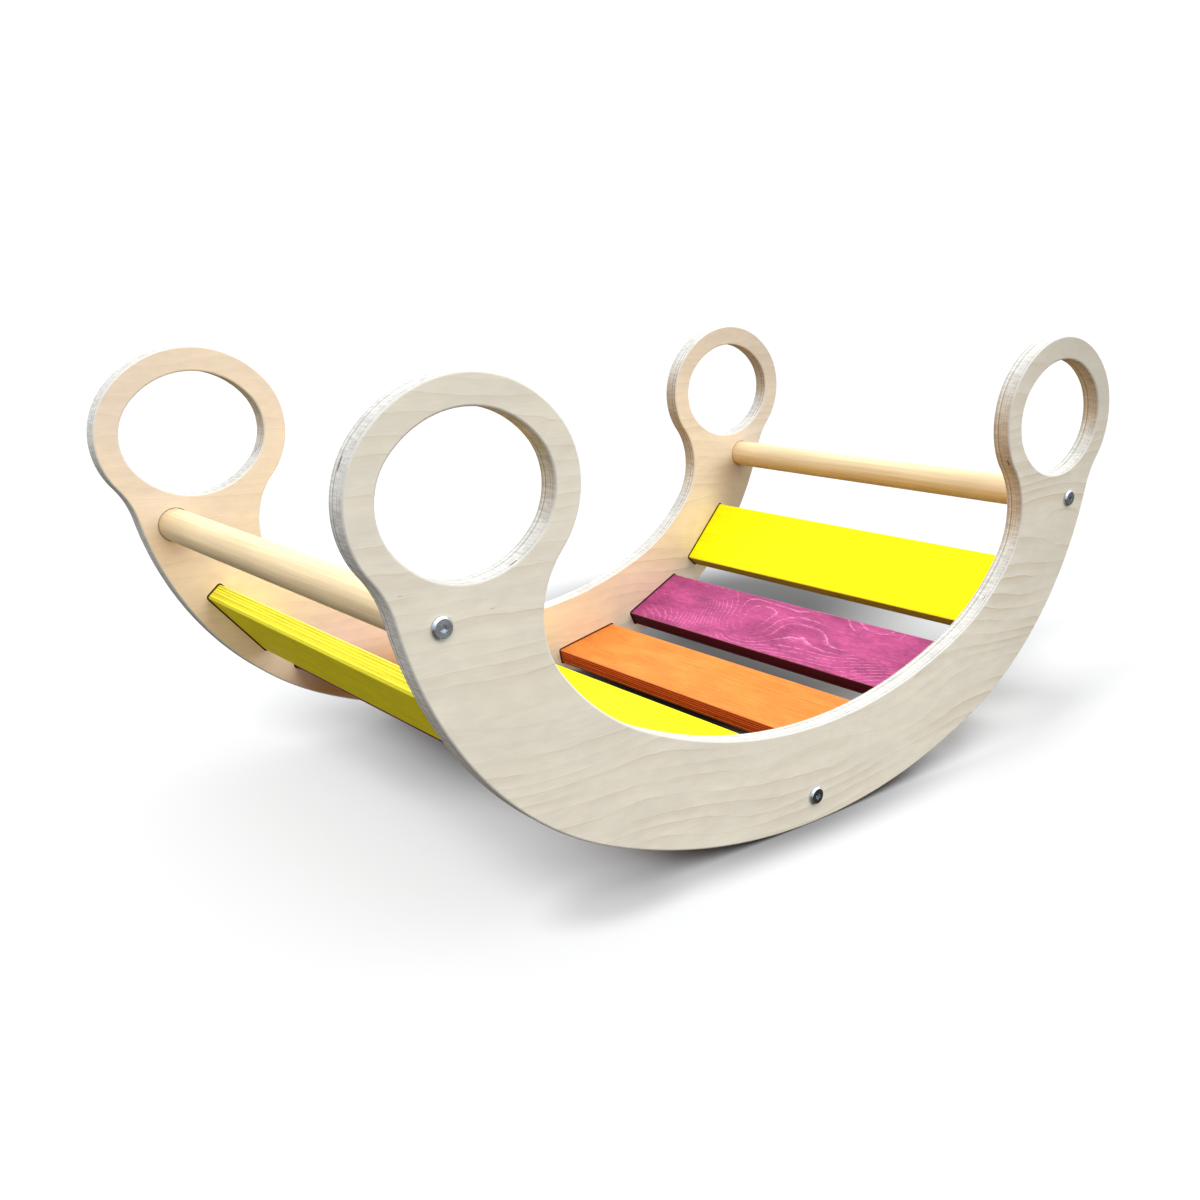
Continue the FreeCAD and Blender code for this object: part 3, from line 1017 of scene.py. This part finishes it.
# %% Arcs of the outline
half_outline = [
    (runner, touch(runner, runner_radius, runner_side)),
    (runner_side, touch(runner_side, runner_side_radius, neck)),
    (neck, touch(outer_end, end_radius, neck)),
    (outer_end, touch(below_ring, top_radius, outer_end)),
    (below_ring, touch(below_ring, top_radius, inner_end)),
    (inner_end, touch(inner_end, end_radius, throat)),
    (throat, touch(seat_side, seat_side_radius, throat)),
    (seat_side, touch(seat, seat_radius, seat_side)),
    (seat, spot(0, middle_depth)),
]
ring_hole = [
    (outer_end, touch(below_ring, hole_flat_radius, outer_end)),
    (below_ring, touch(below_ring, hole_flat_radius, inner_end)),
    (inner_end, touch(above_ring, hole_flat_radius, inner_end)),
    (above_ring, touch(above_ring, hole_flat_radius, outer_end)),
]
print("half outline of", len(half_outline), "arcs, ring hole of", len(ring_hole))

# %% [markdown]
# ## One side, from a single corner
# We start from a plane, merge it to one corner, and spin that corner about one centre after
# the other. Spin leaves its last corner selected, so the arcs chain up. A mirror makes the
# other half. Fill closes the outline round the holes, an extrusion gives the thickness, and a
# bevel rounds both rims, as the router's rounding bit does.

# %% Spin along arcs
arc_step = 0.0025
merge_distance = 0.0001


def spin_along(start, arcs):
    """Spins one corner along arcs that are given by centre and end point."""
    bpy.ops.mesh.select_all(action="DESELECT")
    bpy.ops.mesh.primitive_plane_add(size=arc_step, location=start)
    bpy.ops.mesh.merge(type="CENTER")
    for centre, end in arcs:
        arm, goal = start - centre, end - centre
        turn = math.atan2(arm.x * goal.z - arm.z * goal.x, arm.x * goal.x + arm.z * goal.z)
        steps = round(abs(turn) * arm.length / arc_step)
        bpy.ops.mesh.spin(steps=steps, angle=turn, center=centre, axis=(0, 1, 0))
        start = end


bpy.ops.object.select_all(action="DESELECT")
bpy.ops.mesh.primitive_plane_add(size=arc_step)
rear = bpy.context.object
bpy.ops.object.mode_set(mode="EDIT")
bpy.ops.mesh.delete(type="VERT")
spin_along(spot(0, 0), half_outline)
spin_along(touch(above_ring, hole_flat_radius, outer_end), ring_hole)
bpy.ops.mesh.select_all(action="SELECT")
bpy.ops.mesh.remove_doubles(threshold=merge_distance)
bpy.ops.object.mode_set(mode="OBJECT")
apply_modifier(rear, "MIRROR")
print("outline with", len(rear.data.vertices), "corners")

# %% Board of the rear side
flat_angle = 0.0005
rim_segments = 4


def on_rim(edge):
    """True for an edge between a face of the board and its sawn side."""
    sides = sorted(abs(face.normal.y) for face in edge.link_faces)
    return sides[0] < side_on and sides[-1] > straight_on


bpy.ops.object.mode_set(mode="EDIT")
bpy.ops.mesh.select_all(action="SELECT")
bpy.ops.mesh.fill(use_beauty=False)
bpy.ops.mesh.select_all(action="SELECT")
bpy.ops.mesh.dissolve_limited(angle_limit=flat_angle)
bpy.ops.mesh.select_all(action="SELECT")
bpy.ops.mesh.extrude_region_move(TRANSFORM_OT_translate={"value": (0, panel_thickness, 0)})
bpy.ops.mesh.select_all(action="SELECT")
bpy.ops.mesh.normals_make_consistent(inside=False)
choose(rear, "edges", on_rim)
bpy.ops.mesh.bevel(offset=panel_edge_round, segments=rim_segments, affect="EDGES")
bpy.ops.object.mode_set(mode="OBJECT")
print("board with", len(rear.data.polygons), "faces")

# %% [markdown]
# ## Housings
# The slats stand in blind pockets 8 mm deep, a little larger than the slats, so a dark line
# runs round each slat. The walls of the pockets are painted nearly black, a painted shade that
# deepens that line. A round cutter leaves round corners, which the slats' own rounded edges
# match. We build one pocket as a cutter, copy it to all seven slats, add round sockets for the
# rails, and cut them all at once. The bolt holes follow.

# %% Housing walls in painted shade
housing_shade_size = (0.004, 0.004, 0.004)
housing_shade_dark = (0.02, 0.012, 0.008)
housing_shade_pale = (0.06, 0.038, 0.025)
raw_gloss = 0.1
raw_roughness = (0.8, 0.95)

# Painted shade: the pocket walls are coloured nearly black.
housing_shade, graph, shader = start_material("housing_painted_shade")
housing_shade_noise = graph.ease(graph.noise(graph.place(), housing_shade_size), *noise_range)
graph.feed(shader.inputs["Base Color"], graph.blend(housing_shade_noise, housing_shade_dark, housing_shade_pale))
graph.feed(shader.inputs["Roughness"], graph.ease(housing_shade_noise, 0.0, 1.0, *raw_roughness))
shader.inputs["Specular IOR Level"].default_value = raw_gloss
print("raw wood:", len(graph.tree.nodes), "nodes")

# %% Names and clearances
slat_names = [
    "left_end_slat", "left_middle_slat", "left_inner_slat", "centre_slat",
    "right_inner_slat", "right_middle_slat", "right_end_slat",
]
rail_names = ["left_rail", "right_rail"]
bolted_names = ["left_rail", "centre_slat", "right_rail"]
pocket_clearance = 0.0014
socket_clearance = 0.0006
bolt_hole_radius = 0.0034
housing_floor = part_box("centre_slat")[1].y
housing_depth = housing_floor - inner_face
print("housings", round(housing_depth * 1000, 1), "mm deep")


# %% Shapes for cutting
board_segments = 6


def cylinder_along_y(radius, length, middle, corners):
    """A closed cylinder along Y with its place in the mesh."""
    bpy.ops.object.select_all(action="DESELECT")
    bpy.ops.mesh.primitive_cylinder_add(
        vertices=corners, radius=radius, depth=length, location=middle, rotation=(math.pi / 2, 0, 0)
    )
    piece = bpy.context.object
    place_in_mesh(piece)
    return piece


def rounded_board(size, rounding):
    """A board along Y at the origin with its four long edges rounded."""
    bpy.ops.object.select_all(action="DESELECT")
    bpy.ops.mesh.primitive_cube_add(size=1)
    board = bpy.context.object
    board.scale = size
    place_in_mesh(board)
    bpy.ops.object.mode_set(mode="EDIT")
    choose(board, "edges", lambda edge: edge.verts[0].co.y * edge.verts[1].co.y < 0)
    bpy.ops.mesh.bevel(offset=rounding, segments=board_segments, affect="EDGES")
    bpy.ops.object.mode_set(mode="OBJECT")
    return board


# %% Pockets and sockets
socket_corners = 96
widening = 2 * pocket_clearance
pocket_size = (slat_size.x + widening, 2 * housing_depth, slat_size.z + widening)
pocket = rounded_board(pocket_size, slat_edge_round + pocket_clearance)
cutters = []
for name in slat_names:
    middle, lean, _ = lie_of(name)
    cutter = copy_of(pocket)
    cutter.rotation_euler = (0, lean, 0)
    cutter.location = (middle.x, inner_face, middle.z)
    cutters.append(cutter)
for name in rail_names:
    low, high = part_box(name)
    socket_radius = (high.x - low.x) / 2 + socket_clearance
    middle = ((low.x + high.x) / 2, inner_face, (low.z + high.z) / 2)
    cutters.append(cylinder_along_y(socket_radius, 2 * housing_depth, middle, socket_corners))
only(pocket)
bpy.ops.object.delete()
for cutter in cutters:
    cutter.select_set(True)
bpy.context.view_layer.objects.active = cutters[0]
bpy.ops.object.join()
place_in_mesh(cutters[0])
rear.data.materials.append(birch)
rear.data.materials.append(housing_shade)
cut(rear, cutters[0])
print(len(cutters), "housings cut")

# %% Bolt holes
hole_corners = 48
for name in bolted_names:
    low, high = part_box(name + "_bolts")
    middle = ((low.x + high.x) / 2, outer_face, (low.z + high.z) / 2)
    cut(rear, cylinder_along_y(bolt_hole_radius, 4 * panel_thickness, middle, hole_corners))
print("rear side with its housings:", len(rear.data.polygons), "faces")

# %% [markdown]
# ## Two sides
# The near side is the mirror image of the rear one. A mirrored mesh is inside out, so its
# normals are made consistent again. The smooth shading comes last on both.

# %% Copy and finish the sides
front = copy_of(rear)
front.scale = (1, -1, 1)
place_in_mesh(front)
bpy.ops.object.mode_set(mode="EDIT")
bpy.ops.mesh.select_all(action="SELECT")
bpy.ops.mesh.normals_make_consistent(inside=False)
bpy.ops.object.mode_set(mode="OBJECT")
for side, name, node in (
    (front, "front_side", "front_side_panel"), (rear, "rear_side", "rear_side_panel")
):
    smooth(side)
    hand_over(side, name, node)

# %% [markdown]
# ## Slats
# All seven slats have the same size, so one is modelled flat at the origin: a cube at its
# size with its four long edges beveled. Copies go to the places that the frame gives. The
# centre slat takes two of the bolts, so its ends are bored for the inserts. Last, each slat
# stores where its corners lie on the flat board. A shift along the board keeps two slats
# of one colour from showing the same figure.

# %% Slats
insert_hole_radius = 0.0051
insert_hole_depth = 0.023
board_shift = 0.61
slat_colours = {
    "end": ("yellow_stain", "yellow_slat"),
    "middle": ("purple_stain", "purple_slat"),
    "inner": ("orange_stain", "orange_slat"),
    "centre": ("yellow_stain", "yellow_slat"),
}

board = rounded_board(slat_size, slat_edge_round)
for number, node in enumerate(slat_names):
    middle, lean, _ = lie_of(node)
    slat = copy_of(board)
    slat.rotation_euler = (0, lean, 0)
    slat.location = middle
    place_in_mesh(slat)
    if node in bolted_names:
        for end in (-1, 1):
            hole_middle = middle + Vector((0, end * slat_size.y / 2, 0))
            cut(slat, cylinder_along_y(insert_hole_radius, 2 * insert_hole_depth, hole_middle, hole_corners))
    smooth(slat)
    unturn = Euler((0, -lean, 0)).to_matrix()
    own_place = slat.data.attributes.new("board", "FLOAT_VECTOR", "POINT")
    for corner, stored in zip(slat.data.vertices, own_place.data):
        stored.vector = unturn @ (corner.co - middle) + Vector((0, number * board_shift, 0))
    stain, slot = next(value for key, value in slat_colours.items() if key in node)
    slat.data.materials.append(stain_finishes[stain])
    hand_over(slat, node.replace("slat", "board"), node)
only(board)
bpy.ops.object.delete()

# %% [markdown]
# ## Rails
# A rail is a cylinder with its ends chamfered and bored. A cutter could bore it, as in the
# centre slat, but here the end is a circle already. So the bore is an inset of the end face
# that is then pushed into the bar, which keeps the faces in clean rings.

# %% Rails
rail_corners = 128
rail_end_chamfer = 0.001
for node in rail_names:
    low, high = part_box(node)
    radius = (high.x - low.x) / 2
    rail = cylinder_along_y(radius, high.y - low.y, (low + high) / 2, rail_corners)
    bpy.ops.object.mode_set(mode="EDIT")
    choose(rail, "faces", lambda face: abs(face.normal.y) > straight_on)
    bpy.ops.mesh.bevel(offset=rail_end_chamfer, segments=1, affect="EDGES")
    for end in (-1, 1):
        choose(rail, "faces", lambda face: face.normal.y * end > straight_on)
        bpy.ops.mesh.inset(thickness=radius - rail_end_chamfer - insert_hole_radius)
        bpy.ops.mesh.extrude_region_move(
            TRANSFORM_OT_translate={"value": (0, -end * insert_hole_depth, 0)}
        )
    bpy.ops.object.mode_set(mode="OBJECT")
    smooth(rail)
    rail.data.materials.append(rail_wood)
    hand_over(rail, node.replace("rail", "bar"), node)

# %% [markdown]
# ## Bolts
# A connector bolt has a flat head with a broad chamfer, a hex socket and a plain shank. A
# spun profile could give the round parts, but the same few operators as above do it. One
# is modelled on the axis Y: a cylinder for the head, an inset and an extrusion for the
# shank, a hexagon cut for the key, and a fine bevel on all edges that catches the light.

# %% One bolt
bolt_head_radius = 0.0085
bolt_head_height = 0.003
bolt_head_chamfer = 0.0016
bolt_radius = 0.003
bolt_length = 0.030
bolt_tip_chamfer = 0.0008
hex_key_width = 0.005
hex_key_depth = 0.0022
fine_bevel = 0.00018
fine_bevel_angle = 25
bolt_corners = 96

head_middle = (0, -bolt_head_height / 2, 0)
bolt = cylinder_along_y(bolt_head_radius, bolt_head_height, head_middle, bolt_corners)
bpy.ops.object.mode_set(mode="EDIT")
choose(bolt, "faces", lambda face: face.normal.y < -straight_on)
bpy.ops.mesh.bevel(offset=bolt_head_chamfer, segments=1, affect="EDGES")
choose(bolt, "faces", lambda face: face.normal.y > straight_on)
bpy.ops.mesh.inset(thickness=bolt_head_radius - bolt_radius)
bpy.ops.mesh.extrude_region_move(TRANSFORM_OT_translate={"value": (0, bolt_length, 0)})
bpy.ops.mesh.bevel(offset=bolt_tip_chamfer, segments=1, affect="EDGES")
bpy.ops.object.mode_set(mode="OBJECT")
key_middle = (0, -bolt_head_height, 0)
cut(bolt, cylinder_along_y(hex_key_width / math.sqrt(3), 2 * hex_key_depth, key_middle, 6))
apply_modifier(
    bolt, "BEVEL", width=fine_bevel, segments=2,
    limit_method="ANGLE", angle_limit=math.radians(fine_bevel_angle),
)
smooth(bolt)
own_place = bolt.data.attributes.new("turning", "FLOAT_VECTOR", "POINT")
for corner, stored in zip(bolt.data.vertices, own_place.data):
    stored.vector = corner.co
print("bolt with", len(bolt.data.polygons), "faces")

# %% Six bolts
for name in bolted_names:
    low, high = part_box(name + "_bolts")
    for side, turn in (("front", 0.0), ("rear", math.pi)):
        copy = copy_of(bolt)
        copy.rotation_euler = (0, 0, turn)
        head_seat = -outer_face if side == "front" else outer_face
        copy.location = ((low.x + high.x) / 2, head_seat, (low.z + high.z) / 2)
        place_in_mesh(copy)
        copy.data.materials.append(zinc)
        hand_over(copy, name + "_" + side + "_bolt", name + "_bolts")
only(bolt)
bpy.ops.object.delete()

# %% [markdown]
# ## Inserts
# The inserts are hidden in the wood. Their solids stay as they are and take the steel.

# %% Steel on the inserts
for name in bolted_names:
    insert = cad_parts[name + "_inserts"]
    for number in range(len(insert.data.materials)):
        insert.data.materials[number] = steel
    print(insert.name, "in", steel.name)
